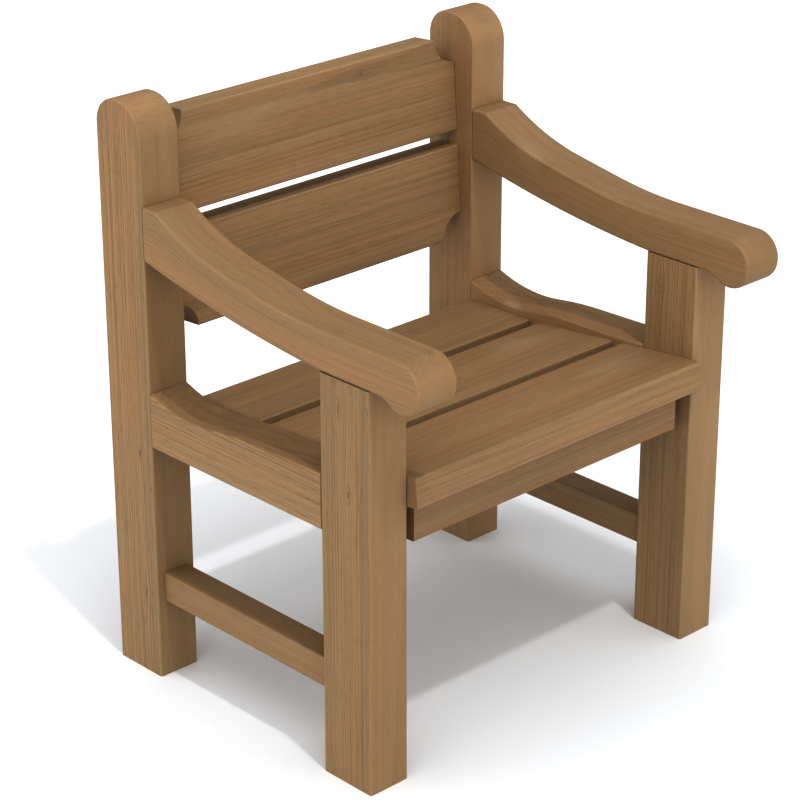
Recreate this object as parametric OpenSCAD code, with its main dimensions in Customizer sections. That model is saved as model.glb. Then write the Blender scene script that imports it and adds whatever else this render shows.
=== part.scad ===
// Garden armchair of heavy planed timber, joined with mortise and tenon.
// Millimetres. +Z is up, the sitter faces -Y, and the origin lies on the floor
// under the middle of the chair. Left and right are as seen from the front.
// Pieces are drawn with Y = 0 at the front faces of the front legs, and
// set_in_depth() then moves them to the origin.

/* [Overall] */
// Width over the outer faces of the legs
overall_w = 720; // [620:1:900]
// Depth from the front faces of the front legs to the back faces of the rear posts
frame_d = 558; // [530:1:620]
// Height of the rear posts
post_h = 892; // [870:1:1000]
// Height of the front legs' shoulders, where the arms lie
leg_h = 613; // [590:1:650]

/* [Timber] */
// Thickness of legs, posts, arms and side rails, measured across the chair
timber_w = 70; // [62:1:90]
// Depth of legs and posts, front to back
timber_d = 96; // [88:1:110]
// Thickness of the seat and back boards
board_t = 45; // [38:1:48]
// Radius of the eased edges on straight timbers
edge_r = 3; // [1:0.5:5]
// Radius of the eased edges on the arms and side rails
soft_edge_r = 5; // [2:0.5:7]

/* [Rear posts] */
// Radius of the rounded head at the front
head_front_r = 48; // [20:1:50]
// Radius of the rounded head at the back
head_back_r = 40; // [20:1:44]

/* [Arms] */
// Thickness of the arm over the front leg
arm_t = 60; // [54:1:68]
// How far the nose stands out in front of the front leg
arm_overhang = 95; // [86:1:120]
// Radius of the upper half of the nose
nose_top_r = 38; // [30:1:40]
// Radius of the scroll under the nose
nose_low_r = 36; // [32:1:38]
// How far the scroll hangs below the arm's underside
scroll_drop = 14; // [10:1:17]
// Slope of the scroll's rise to the underside, in degrees
scroll_slope = 33.5; // [30:0.5:38]
// Radius of the hollow between the scroll and the underside
scroll_hollow_r = 50; // [30:1:55]
// Height of the arm's rear end above the front leg's shoulder
arm_rise = 135; // [120:1:150]
// Length of the level end in front of the post
arm_level_l = 29; // [15:1:45]
// Length of the steep part of the sweep
sweep_steep_l = 62; // [50:1:75]
// Height gained over the steep part of the sweep
sweep_steep_rise = 38; // [32:1:44]
// Length of the gentle part of the sweep
sweep_gentle_l = 216; // [190:1:240]
// Radius between the gentle and the steep part
sweep_steep_r = 380; // [200:10:380]
// Radius between the flat of the arm and the gentle part
sweep_gentle_r = 750; // [400:10:1000]
// Depth of the arm where it meets the post
arm_back_t = 82; // [76:1:92]
// How far the middle of the arm's underside bulges below a straight line
arm_belly = 7.5; // [5:0.5:9]
// Radius of the arm's underside between leg and post
arm_belly_r = 2200; // [1000:50:2200]

/* [Side rails and stretchers] */
// How far the side rails' underside lies below the seat's rear edge
rail_drop = 55; // [52:1:60]
// Depth of the side rail at the front leg
rail_front_t = 86; // [80:1:98]
// Depth of the side rail at the bend in its top edge
rail_bend_t = 80; // [76:1:86]
// Distance from that bend to the rear post
rail_bend_l = 175; // [160:1:200]
// Radius of that bend
rail_bend_r = 600; // [300:10:700]
// Depth of the side rail where the slopes on either side of its dip would cross
rail_dip_t = 63; // [58:1:70]
// Distance from that crossing to the rear post
rail_dip_l = 64; // [56:1:80]
// Radius of the dip
rail_dip_r = 250; // [150:10:250]
// Depth of the side rail at the rear post
rail_back_t = 87; // [80:1:98]
// Thickness of the lower stretchers, across the chair
stretcher_w = 45; // [36:1:60]
// Depth of the lower stretchers
stretcher_h = 47; // [40:1:70]
// Height of the stretchers' underside above the floor
stretcher_z = 125; // [90:1:200]

/* [Seat] */
// Height of the seat's front edge
seat_h = 471; // [455:1:485]
// How far the front board stands out in front of the legs
seat_overhang = 15; // [5:1:25]
// Width of the front and middle boards
seat_board_w = 154; // [146:1:158]
// Gap between two boards
seat_gap = 20; // [10:1:24]
// Slope of the front and middle boards, in degrees
seat_tilt = 5.9; // [5:0.1:6.5]
// Slope of the rear board, in degrees
seat_back_tilt = 1.3; // [0.5:0.1:2.5]
// Gap between the ends of the seat boards and the timber beside them
board_end_fit = 0.3; // [0.2:0.1:1]

/* [Under the seat] */
// Thickness of the two seat bearers
bearer_t = 22; // [20:1:28]
// How far the bearers' underside lies below the side rails'
bearer_drop = 28; // [25:1:32]
// Thickness of the front apron
apron_t = 45; // [38:1:50]
// How far the apron's underside lies below the side rails'
apron_drop = 18; // [12:1:24]
// How far the apron stands back from the front faces of the legs
apron_setback = 10; // [4:1:16]
// Length of bearer that laps the end of the apron
apron_lap = 25; // [20:1:30]
// Thickness of the rear rail
rear_rail_t = 22; // [20:1:30]
// Depth of the rear rail
rear_rail_h = 68; // [60:1:80]
// How far the rear rail stands back from the front faces of the posts
rear_rail_setback = 20; // [18:1:26]

/* [Back] */
// Lean of the back boards, in degrees
back_rake = 4.2; // [3:0.1:4.6]
// How far the back stands behind the front of the posts at the seat's rear edge
back_setback = 12; // [8:1:14]
// How far the top of the back lies below the tops of the rear posts
back_drop = 36; // [20:1:60]
// Width of each back board
back_board_w = 150; // [140:1:154]
// Gap between the two boards
back_gap = 23; // [15:1:28]
// Radius of the cove cut in each outer corner of the back
cove_r = 41; // [30:1:48]

/* [Joints] */
// Thickness of the tenons on the side rails and arms, and on top of the front legs
tenon_t = 24; // [18:1:26]
// Length of the tenons in the side frames
tenon_l = 45; // [30:1:50]
// Height of the tenon on top of the front leg
leg_tenon_h = 38; // [30:1:44]
// Thickness of the tenons on stretchers, back boards and rear rail
slim_tenon_t = 16; // [12:1:18]
// Shoulder beside each tenon
shoulder = 10; // [6:1:12]
// Clearance on each face of a tenon in its mortise
tenon_fit = 0.2; // [0.1:0.05:0.4]
// Room for glue at the bottom of each mortise
glue_room = 2; // [1:0.5:3]
// Timber left between crossing mortises in a post
mortise_web = 1; // [1:0.5:3]

/* [Screws] */
// Diameter of the screws through the bearers into legs and posts
frame_screw_d = 6; // [5:0.5:7]
// Length of the screws through the bearers into legs and posts
frame_screw_l = 60; // [50:1:64]
// How far those screws lie below the side rails' underside
frame_screw_drop = 8; // [6:1:12]
// Distance from those screws to the end of the bearer or the edge of the leg
frame_screw_inset = 15; // [13:1:17]
// Diameter of the screws up into the seat boards
board_screw_d = 5; // [4:0.5:6]
// Length of the screws up into the seat boards
board_screw_l = 60; // [58:1:68]
// How far those screws bite into the boards
board_bite = 30; // [29:1:34]
// Distance from those screws to the edges of the boards
board_screw_inset = 35; // [32:1:38]
// Distance between two screws in the apron
apron_screw_gap = 180; // [100:1:210]
// How much wider a screw's head is than its shank
head_extra_d = 5; // [4:0.5:6]
// Thickness of a screw's head
head_t = 3; // [2:0.5:3.5]
// Width across the corners of the drive socket in a screw's head
drive_d = 4; // [3:0.5:5]
// Depth of the drive socket
drive_depth = 2; // [1:0.5:2]
// Clearance around a screw's shank
screw_fit = 0.1; // [0.05:0.05:0.3]
// Clearance around and over a screw's head
head_fit = 0.5; // [0.3:0.1:1]

/* [Hidden] */

$fn = 48;
// Largest gap between a curved outline and the straight steps that draw it
chord_error = 0.08;
// Length by which a cutter runs past the face that it cuts
past = 10;
// Length of each tenon that is rooted in its own timber
tenon_root = 6;
// How far a point may lie from a line and still count as on it
on_line = 0.001;

left = -1;
right = 1;

upright_tint = "#a27c50";
rail_tint = "#96704a";
arm_tint = "#a98458";
board_tint = "#8c6844";
bearer_tint = "#7f5f3e";
steel_tint = "#b9bcc0";

outer_x = overall_w / 2;
inner_x = outer_x - timber_w;
timber_mid_x = outer_x - timber_w / 2;
leg_back_y = timber_d;
post_front_y = frame_d - timber_d;
plan_mid_y = (frame_d - arm_overhang) / 2;

// The seat: a sloping front half that folds to a flatter rear board
fold_l = 2 * seat_board_w + 1.5 * seat_gap;
fold_y = fold_l * cos(seat_tilt) - seat_overhang;
fold_z = seat_h - fold_l * sin(seat_tilt);
rear_board_w = (post_front_y - fold_y) / cos(seat_back_tilt) - seat_gap / 2;
seat_back_z = fold_z - (post_front_y - fold_y) * tan(seat_back_tilt);

// Undersides of the sloping boards and of the rear board at depth y
function sloped_under_z(y) = fold_z + (fold_y - y) * tan(seat_tilt) - board_t / cos(seat_tilt);
function rear_under_z(y) =
    fold_z - (y - fold_y) * tan(seat_back_tilt) - board_t / cos(seat_back_tilt);
function seat_under_z(y) = max(sloped_under_z(y), rear_under_z(y));
under_fold_y =
    fold_y + (sloped_under_z(fold_y) - rear_under_z(fold_y)) / (tan(seat_tilt) - tan(seat_back_tilt));

rail_z = seat_back_z - rail_drop;
rail_front_z = rail_z + rail_front_t;
rail_back_z = rail_z + rail_back_t;

bearer_z = rail_z - bearer_drop;
bearer_x = inner_x - bearer_t;
bearer_mid_x = inner_x - bearer_t / 2;
apron_z = rail_z - apron_drop;
apron_back_y = apron_setback + apron_t;
bearer_front_y = apron_back_y - apron_lap;
rear_rail_y = post_front_y + rear_rail_setback;
rear_rail_top_z = seat_under_z(rear_rail_y);

arm_top_z = leg_h + arm_t;
arm_level_z = leg_h + arm_rise;
arm_back_z = arm_level_z - arm_back_t;
sweep_top_y = post_front_y - arm_level_l;
sweep_bend_y = sweep_top_y - sweep_steep_l;
sweep_bend_z = arm_level_z - sweep_steep_rise;
sweep_start_y = sweep_bend_y - sweep_gentle_l;
// Where the nose's front face and the scroll's slope would cross
nose_corner_z =
    leg_h - scroll_drop + nose_low_r * (1 - tan(scroll_slope) - 1 / cos(scroll_slope));
scroll_end_y = (leg_h - nose_corner_z) / tan(scroll_slope) - arm_overhang;

// Distances up the lean of the back to the foot of each board
upper_board_s = (post_h - back_drop - seat_back_z) / cos(back_rake) - back_board_w;
lower_board_s = upper_board_s - back_gap - back_board_w;

// Tenons of boards and rear rail stop short of the tenons that cross them in the posts
board_tenon_l = (timber_w - tenon_t) / 2 - glue_room - mortise_web;

frame_screw_z = rail_z - frame_screw_drop;
frame_screw_ys = [
    bearer_front_y + frame_screw_inset,
    leg_back_y - frame_screw_inset,
    post_front_y + rear_rail_setback / 2
];
front_board_screw_ys = [
    bearer_front_y + board_screw_inset,
    (seat_board_w - board_screw_inset) * cos(seat_tilt) - seat_overhang
];
middle_board_screw_ys = [
    (seat_board_w + seat_gap + board_screw_inset) * cos(seat_tilt) - seat_overhang,
    (2 * seat_board_w + seat_gap - board_screw_inset) * cos(seat_tilt) - seat_overhang
];
rear_board_screw_ys = [
    fold_y + (seat_gap / 2 + board_screw_inset) * cos(seat_back_tilt),
    post_front_y - board_screw_inset * cos(seat_back_tilt)
];
board_screw_ys = concat(front_board_screw_ys, middle_board_screw_ys, rear_board_screw_ys);
apron_screw_y = apron_setback + apron_t / 2;
apron_screw_xs = [-apron_screw_gap, 0, apron_screw_gap];

function unit(v) = v / norm(v);
function wrap(i, n) = (i + n) % n;

// Angle by which an outline turns at p, between its neighbours a and b
function turn_at(a, p, b) = 180 - acos(unit(a - p) * unit(b - p));

// Length of outline that a rounding of radius r takes up on each side of p
function reach(a, p, b, r) = r == 0 ? 0 : r * tan(turn_at(a, p, b) / 2);

// Arc of radius r that rounds the corner p between its neighbours a and b
function rounded(a, p, b, r) =
    r == 0 ? [p] :
    let (
        turn = turn_at(a, p, b),
        u = unit(a - p),
        v = unit(b - p),
        centre = p + unit(u + v) * r / cos(turn / 2),
        start = p + u * reach(a, p, b, r) - centre,
        end = p + v * reach(a, p, b, r) - centre,
        way = start.x * end.y > start.y * end.x ? 1 : -1,
        first = atan2(start.y, start.x),
        steps = max(2, ceil(turn / (2 * acos(1 - chord_error / r))))
    )
    [for (i = [0:steps]) let (a = first + way * turn * i / steps) centre + r * [cos(a), sin(a)]];

// Closed outline from corners [y, z, radius], where each radius is limited by its sides
function outline(corners) =
    let (
        n = len(corners),
        at = [for (c = corners) [c[0], c[1]]],
        before = [for (i = [0:n - 1]) at[wrap(i - 1, n)]],
        after = [for (i = [0:n - 1]) at[wrap(i + 1, n)]],
        reaches = [for (i = [0:n - 1]) reach(before[i], at[i], after[i], corners[i][2])],
        room = [for (i = [0:n - 1])
            let (wanted = reaches[i] + reaches[wrap(i + 1, n)])
            wanted == 0 ? 1 : min(1, 0.99 * norm(after[i] - at[i]) / wanted)]
    )
    [for (i = [0:n - 1])
        each rounded(before[i], at[i], after[i], corners[i][2] * min(room[i], room[wrap(i - 1, n)]))];

// A cut is [axis, value]: the line y = value for axis 0, or z = value for axis 1
function off_cut(p, cut) = abs(p[cut[0]] - cut[1]);
function is_cut(a, b, cuts) =
    min([for (cut = cuts) max(off_cut(a, cut), off_cut(b, cut))]) < on_line;

// Anticlockwise outline with its sides moved inwards by d, except those that lie on the cuts
function inset(points, d, cuts) =
    let (
        n = len(points),
        inward = [for (i = [0:n - 1])
            let (u = unit(points[wrap(i + 1, n)] - points[i])) [-u.y, u.x]],
        moves = [for (i = [0:n - 1]) is_cut(points[i], points[wrap(i + 1, n)], cuts) ? 0 : d]
    )
    [for (i = [0:n - 1])
        let (
            h = wrap(i - 1, n),
            c = inward[h] * inward[i],
            a = (moves[h] - c * moves[i]) / (1 - c * c),
            b = (moves[i] - c * moves[h]) / (1 - c * c)
        )
        points[i] + (moves[h] == moves[i] ?
            moves[i] * (inward[h] + inward[i]) / (1 + c) :
            a * inward[h] + b * inward[i])];

// Twice the area of the triangle a, b, c, which is positive where they run anticlockwise
function double_area(a, b, c) = (b.x - a.x) * (c.y - a.y) - (b.y - a.y) * (c.x - a.x);

function in_triangle(p, a, b, c) =
    min(double_area(a, b, p), double_area(b, c, p), double_area(c, a, p)) > 0;

// First corner k, among the indexes left over, whose triangle lies inside the outline, or the last
function find_ear(points, left_over, k = 0) =
    let (
        n = len(left_over),
        a = points[left_over[wrap(k - 1, n)]],
        b = points[left_over[k]],
        c = points[left_over[wrap(k + 1, n)]],
        inside = [for (i = left_over) if (in_triangle(points[i], a, b, c)) i]
    )
    k == n - 1 || (double_area(a, b, c) > 0 && len(inside) == 0) ?
        k :
        find_ear(points, left_over, k + 1);

// Triangles that fill an anticlockwise outline, which may have hollows, cut off ear by ear
function triangles(points, left_over) =
    len(left_over) == 3 ? [left_over] :
    let (
        n = len(left_over),
        k = find_ear(points, left_over),
        ear = [left_over[wrap(k - 1, n)], left_over[k], left_over[wrap(k + 1, n)]]
    )
    concat([ear], triangles(points, [for (i = left_over) if (i != left_over[k]) i]));

module set_in_depth() {
    translate([0, -plan_mid_y, 0]) children();
}

// Draws a right-hand piece, or its mirror image on the left
module on_side(side) {
    mirror([side == right ? 0 : 1, 0, 0]) children();
}

// Moves to the back's plane: Z runs up its lean and Y through its thickness
module in_back() {
    translate([0, post_front_y + back_setback, seat_back_z]) rotate([-back_rake, 0, 0]) children();
}

// Extrudes a y-z shape across the chair, from x over the width w
module across(x, w) {
    translate([x, 0, 0]) rotate([90, 0, 90]) linear_extrude(w) children();
}

// Timber with the given y-z outline, from x over the width w, whose edges are eased to radius r
// except around the ends that lie on the cuts
module eased_timber(points, x, w, r, cuts) {
    n = len(points);
    eases = [0, 30, 60, 90];
    slices = [
        for (a = eases) [x + r * (1 - cos(a)), r * (1 - sin(a))],
        for (a = eases) [x + w - r * (1 - sin(a)), r * (1 - cos(a))]
    ];
    last = len(slices) - 1;
    cap = triangles(inset(points, r, cuts), [for (i = [0:n - 1]) i]);
    polyhedron(
        points = [for (slice = slices) for (p = inset(points, slice[1], cuts)) [slice[0], p.x, p.y]],
        faces = [
            each cap,
            for (t = cap) last * n * [1, 1, 1] + [t[2], t[1], t[0]],
            for (k = [0:last - 1]) for (i = [0:n - 1])
                [k * n + i, (k + 1) * n + i, (k + 1) * n + wrap(i + 1, n), k * n + wrap(i + 1, n)]
        ]
    );
}

// Rectangle from the origin with eased corners
module eased_section(w, d) {
    translate([edge_r, 0]) square([w - 2 * edge_r, d]);
    translate([0, edge_r]) square([w, d - 2 * edge_r]);
    for (x = [edge_r, w - edge_r], y = [edge_r, d - edge_r]) translate([x, y]) circle(edge_r);
}

// A joint's box is [low corner, high corner]. Its tenon fills the box and points in the
// direction way. Its mortise is wider by the clearance, and deeper by the glue room.
module block(box) {
    translate(box[0]) cube(box[1] - box[0]);
}

function stretched(box, by) = [
    [for (i = [0:2]) box[0][i] + min(by[i], 0)],
    [for (i = [0:2]) box[1][i] + max(by[i], 0)]
];

module tenon(box, way) {
    block(stretched(box, -tenon_root * way));
}

module mortise(box, way) {
    grow = tenon_fit * [1, 1, 1];
    deep = stretched(box, glue_room * way);
    block([deep[0] - grow, deep[1] + grow]);
}

// Box of a tenon in the side frame, of thickness t, between two depths and two heights
function frame_tenon(t, ys, zs) =
    [[timber_mid_x - t / 2, ys[0], zs[0]], [timber_mid_x + t / 2, ys[1], zs[1]]];

into_leg = [leg_back_y - tenon_l, leg_back_y];
into_post = [post_front_y, post_front_y + tenon_l];
rail_front_zs = [rail_z + shoulder, rail_front_z - shoulder];
rail_back_zs = [rail_z + shoulder, rail_back_z - shoulder];
stretcher_zs = [stretcher_z + shoulder, stretcher_z + stretcher_h - shoulder];
arm_zs = [arm_back_z + shoulder, arm_level_z - shoulder];

leg_tenon = frame_tenon(tenon_t, [shoulder, timber_d - shoulder], [leg_h, leg_h + leg_tenon_h]);
rail_leg_tenon = frame_tenon(tenon_t, into_leg, rail_front_zs);
rail_post_tenon = frame_tenon(tenon_t, into_post, rail_back_zs);
stretcher_leg_tenon = frame_tenon(slim_tenon_t, into_leg, stretcher_zs);
stretcher_post_tenon = frame_tenon(slim_tenon_t, into_post, stretcher_zs);
arm_tenon = frame_tenon(tenon_t, into_post, arm_zs);

// Right-hand tenon of a board of thickness t whose near corner is at [y, z], between heights
function board_tenon(t, y, zs) = [
    [inner_x, y + (t - slim_tenon_t) / 2, zs[0]],
    [inner_x + board_tenon_l, y + (t + slim_tenon_t) / 2, zs[1]]
];

upper_tenon_zs =
    [upper_board_s + shoulder, upper_board_s + back_board_w - cove_r - shoulder];
lower_tenon_zs =
    [lower_board_s + cove_r + shoulder, lower_board_s + back_board_w - shoulder];
rear_rail_tenon_zs = [rear_rail_top_z - rear_rail_h + shoulder, rear_rail_top_z - shoulder];
upper_board_tenon = board_tenon(board_t, 0, upper_tenon_zs);
lower_board_tenon = board_tenon(board_t, 0, lower_tenon_zs);
rear_rail_tenon = board_tenon(rear_rail_t, rear_rail_y, rear_rail_tenon_zs);

// Screw of shank diameter d that points up, with the underside of its head at the origin
module screw(d, l) {
    translate([0, 0, -head_t]) difference() {
        cylinder(h = head_t, d = d + head_extra_d);
        translate([0, 0, -drive_depth]) cylinder(h = 2 * drive_depth, d = drive_d, $fn = 6);
    }
    cylinder(h = l - d, d = d);
    translate([0, 0, l - d]) cylinder(h = d, d1 = d, d2 = d / 4);
}

// Hole for that screw, with a recess of the given depth for its head
module screw_hole(d, l, recess) {
    cylinder(h = l + head_fit, d = d + 2 * screw_fit);
    translate([0, 0, -recess]) cylinder(h = recess, d = d + head_extra_d + 2 * head_fit);
}

// Places on the right-hand bearer: the frame screws point outwards
module at_frame_screws(ys) {
    for (y = ys) translate([bearer_x + head_t + head_fit, y, frame_screw_z]) rotate([0, 90, 0]) children();
}

module at_board_screws(ys) {
    for (y = ys)
        translate([bearer_mid_x, y, seat_under_z(y) + board_bite - board_screw_l]) children();
}

module at_apron_screws() {
    for (x = apron_screw_xs)
        translate([x, apron_screw_y, seat_under_z(apron_screw_y) + board_bite - board_screw_l])
            children();
}

module frame_screw_holes(ys) {
    at_frame_screws(ys) screw_hole(frame_screw_d, frame_screw_l, past);
}

module front_leg(side) {
    color(upright_tint) set_in_depth() on_side(side) difference() {
        union() {
            translate([inner_x, 0, 0]) linear_extrude(leg_h) eased_section(timber_w, timber_d);
            tenon(leg_tenon, [0, 0, 1]);
        }
        mortise(rail_leg_tenon, [0, -1, 0]);
        mortise(stretcher_leg_tenon, [0, -1, 0]);
        frame_screw_holes([frame_screw_ys[0], frame_screw_ys[1]]);
    }
}

module rear_post(side) {
    points = outline([
        [post_front_y, 0, 0],
        [frame_d, 0, 0],
        [frame_d, post_h, head_back_r],
        [post_front_y, post_h, head_front_r]
    ]);
    color(upright_tint) set_in_depth() on_side(side) difference() {
        eased_timber(points, inner_x, timber_w, edge_r, [[1, 0]]);
        mortise(rail_post_tenon, [0, 1, 0]);
        mortise(stretcher_post_tenon, [0, 1, 0]);
        mortise(arm_tenon, [0, 1, 0]);
        mortise(rear_rail_tenon, [1, 0, 0]);
        in_back() mortise(upper_board_tenon, [1, 0, 0]);
        in_back() mortise(lower_board_tenon, [1, 0, 0]);
        frame_screw_holes([frame_screw_ys[2]]);
    }
}

module arm(side) {
    points = outline([
        [-arm_overhang, nose_corner_z, nose_low_r],
        [scroll_end_y, leg_h, scroll_hollow_r],
        [leg_back_y, leg_h, 0],
        [(leg_back_y + post_front_y) / 2, (leg_h + arm_back_z) / 2 - 2 * arm_belly, arm_belly_r],
        [post_front_y, arm_back_z, 0],
        [post_front_y, arm_level_z, 0],
        [sweep_top_y, arm_level_z, 0],
        [sweep_bend_y, sweep_bend_z, sweep_steep_r],
        [sweep_start_y, arm_top_z, sweep_gentle_r],
        [-arm_overhang, arm_top_z, nose_top_r]
    ]);
    color(arm_tint) set_in_depth() on_side(side) union() {
        difference() {
            eased_timber(points, inner_x, timber_w, soft_edge_r, [[0, post_front_y]]);
            mortise(leg_tenon, [0, 0, 1]);
        }
        tenon(arm_tenon, [0, 1, 0]);
    }
}

module side_rail(side) {
    points = outline([
        [leg_back_y, rail_z, 0],
        [post_front_y, rail_z, 0],
        [post_front_y, rail_back_z, 0],
        [post_front_y - rail_dip_l, rail_z + rail_dip_t, rail_dip_r],
        [post_front_y - rail_bend_l, rail_z + rail_bend_t, rail_bend_r],
        [leg_back_y, rail_front_z, 0]
    ]);
    color(rail_tint) set_in_depth() on_side(side) union() {
        eased_timber(points, inner_x, timber_w, soft_edge_r, [[0, leg_back_y], [0, post_front_y]]);
        tenon(rail_leg_tenon, [0, -1, 0]);
        tenon(rail_post_tenon, [0, 1, 0]);
    }
}

module side_stretcher(side) {
    color(rail_tint) set_in_depth() on_side(side) union() {
        translate([timber_mid_x - stretcher_w / 2, post_front_y, stretcher_z]) rotate([90, 0, 0])
            linear_extrude(post_front_y - leg_back_y) eased_section(stretcher_w, stretcher_h);
        tenon(stretcher_leg_tenon, [0, -1, 0]);
        tenon(stretcher_post_tenon, [0, 1, 0]);
    }
}

// Back board whose foot lies s up the lean, with coves on the corners that lie cove_s up
module back_board(s, cove_s, joint) {
    color(board_tint) set_in_depth() in_back() union() {
        difference() {
            across(-inner_x, 2 * inner_x) translate([0, s]) eased_section(board_t, back_board_w);
            for (x = [-inner_x, inner_x])
                translate([x, -past, cove_s]) rotate([-90, 0, 0])
                    cylinder(h = board_t + 2 * past, r = cove_r);
        }
        tenon(joint, [1, 0, 0]);
        mirror([1, 0, 0]) tenon(joint, [1, 0, 0]);
    }
}

// Seat board of width w with its top front edge at [y, z], falling backwards at the given tilt
module seat_board(y, z, w, tilt, screw_ys) {
    color(board_tint) set_in_depth() difference() {
        across(board_end_fit - inner_x, 2 * (inner_x - board_end_fit))
            translate([y, z]) rotate(-tilt) translate([0, -board_t]) eased_section(w, board_t);
        for (side = [left, right])
            on_side(side) at_board_screws(screw_ys) screw_hole(board_screw_d, board_screw_l, 0);
        children();
    }
}

module front_seat_board() {
    seat_board(-seat_overhang, seat_h, seat_board_w, seat_tilt, front_board_screw_ys)
        at_apron_screws() screw_hole(board_screw_d, board_screw_l, 0);
}

module middle_seat_board() {
    start = seat_board_w + seat_gap;
    y = start * cos(seat_tilt) - seat_overhang;
    z = seat_h - start * sin(seat_tilt);
    seat_board(y, z, seat_board_w, seat_tilt, middle_board_screw_ys);
}

module rear_seat_board() {
    y = fold_y + seat_gap / 2 * cos(seat_back_tilt);
    z = fold_z - seat_gap / 2 * sin(seat_back_tilt);
    seat_board(y, z, rear_board_w, seat_back_tilt, rear_board_screw_ys);
}

module front_apron() {
    points = outline([
        [apron_setback, apron_z, edge_r],
        [apron_back_y, apron_z, edge_r],
        [apron_back_y, seat_under_z(apron_back_y), 0],
        [apron_setback, seat_under_z(apron_setback), 0]
    ]);
    color(rail_tint) set_in_depth() difference() {
        across(-bearer_x, 2 * bearer_x) polygon(points);
        at_apron_screws() screw_hole(board_screw_d, board_screw_l, board_screw_l);
    }
}

module rear_rail() {
    color(rail_tint) set_in_depth() union() {
        across(-inner_x, 2 * inner_x)
            translate([rear_rail_y, rear_rail_top_z - rear_rail_h]) eased_section(rear_rail_t, rear_rail_h);
        tenon(rear_rail_tenon, [1, 0, 0]);
        mirror([1, 0, 0]) tenon(rear_rail_tenon, [1, 0, 0]);
    }
}

module seat_bearer(side) {
    points = [
        [bearer_front_y, bearer_z],
        [rear_rail_y, bearer_z],
        [rear_rail_y, rear_under_z(rear_rail_y)],
        [under_fold_y, rear_under_z(under_fold_y)],
        [bearer_front_y, sloped_under_z(bearer_front_y)]
    ];
    color(bearer_tint) set_in_depth() on_side(side) difference() {
        across(bearer_x, bearer_t) polygon(points);
        frame_screw_holes(frame_screw_ys);
        at_board_screws(board_screw_ys) screw_hole(board_screw_d, board_screw_l, board_screw_l);
    }
}

module frame_screws() {
    color(steel_tint) set_in_depth() for (side = [left, right])
        on_side(side) at_frame_screws(frame_screw_ys) screw(frame_screw_d, frame_screw_l);
}

module seat_board_screws() {
    color(steel_tint) set_in_depth() for (side = [left, right])
        on_side(side) at_board_screws(board_screw_ys) screw(board_screw_d, board_screw_l);
}

module apron_screws() {
    color(steel_tint) set_in_depth() at_apron_screws() screw(board_screw_d, board_screw_l);
}

front_leg(left);  // front_leg_left
front_leg(right);  // front_leg_right
rear_post(left);  // rear_post_left
rear_post(right);  // rear_post_right
arm(left);  // arm_left
arm(right);  // arm_right
side_rail(left);  // side_rail_left
side_rail(right);  // side_rail_right
side_stretcher(left);  // side_stretcher_left
side_stretcher(right);  // side_stretcher_right
back_board(upper_board_s, upper_board_s + back_board_w, upper_board_tenon);  // back_board_upper
back_board(lower_board_s, lower_board_s, lower_board_tenon);  // back_board_lower
front_seat_board();  // seat_board_front
middle_seat_board();  // seat_board_middle
rear_seat_board();  // seat_board_rear
front_apron();
rear_rail();
seat_bearer(left);  // seat_bearer_left
seat_bearer(right);  // seat_bearer_right
frame_screws();
seat_board_screws();
apron_screws();
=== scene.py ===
"""Dresses a heavy timber garden armchair for rendering: eased arrises, solid wood grain, screws, a studio.

Metres. +Z is up, the sitter faces -Y, and left and right are as seen from the front. Each piece keeps
the place that the CAD model gives it.
"""

import math

import bmesh
import bpy
from bpy.props import FloatProperty, FloatVectorProperty, IntProperty, PointerProperty
from bpy.types import Operator, Panel, PropertyGroup
from mathutils import Matrix, Vector


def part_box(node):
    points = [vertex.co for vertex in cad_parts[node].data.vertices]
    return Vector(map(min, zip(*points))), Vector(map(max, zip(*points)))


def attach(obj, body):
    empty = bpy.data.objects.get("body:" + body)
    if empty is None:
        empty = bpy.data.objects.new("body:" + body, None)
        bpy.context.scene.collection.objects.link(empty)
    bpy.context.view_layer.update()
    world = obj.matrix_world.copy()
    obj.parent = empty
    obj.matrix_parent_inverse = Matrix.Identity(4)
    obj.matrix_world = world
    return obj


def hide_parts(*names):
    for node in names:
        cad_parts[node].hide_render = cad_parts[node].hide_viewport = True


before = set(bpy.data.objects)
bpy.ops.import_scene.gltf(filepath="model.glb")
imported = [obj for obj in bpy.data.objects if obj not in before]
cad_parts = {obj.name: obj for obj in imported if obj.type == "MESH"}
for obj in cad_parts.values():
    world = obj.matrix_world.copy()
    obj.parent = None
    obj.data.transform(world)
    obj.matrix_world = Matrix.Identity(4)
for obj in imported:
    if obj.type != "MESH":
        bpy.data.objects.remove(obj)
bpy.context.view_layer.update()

bl_info = {
    "name": "Timber Garden Armchair",
    "version": (1, 0, 0),
    "blender": (4, 5, 0),
    "location": "3D View > Sidebar > Armchair",
    "description": "Dresses a joined timber armchair with solid wood grain, eased arrises and screws",
    "category": "Object",
}

BODY = "root"
# Distance within which two corners of the CAD mesh are one
WELD = 1e-5
# Turn between two faces: largest that still counts as flat, smallest that is an arris, and largest that is
# shaded as one curve on timber and on screws
FLAT_TURN = math.radians(0.2)
ARRIS_TURN = math.radians(50)
SMOOTH_TURN = math.radians(42)
SCREW_TURN = math.radians(30)
# Steps in a board's eased edge, and sides of the round that cuts its coves
EASE_STEPS = 4
COVE_SIDES = 96
# Shares of a wood screw: width of its core and of its tip, length of its smooth part, thickness of the
# rounded part of its head and width of its crown
CORE_SHARE = 0.72
TIP_SHARE = 0.2
SMOOTH_SHARE = 0.3
ROUND_SHARE = 0.3
CROWN_SHARE = 0.86
# Steps in one turn of the thread
THREAD_STEPS = 14
# Half of the floor's width, and the middle, inner radius and outer radius of the painted shade under the
# chair
FLOOR_REACH = 12.0
FLOOR_SHADE_MIDDLE = (0.1, -0.08, 0.0)
FLOOR_SHADE_INNER = 0.1
FLOOR_SHADE_OUTER = 0.75
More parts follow.
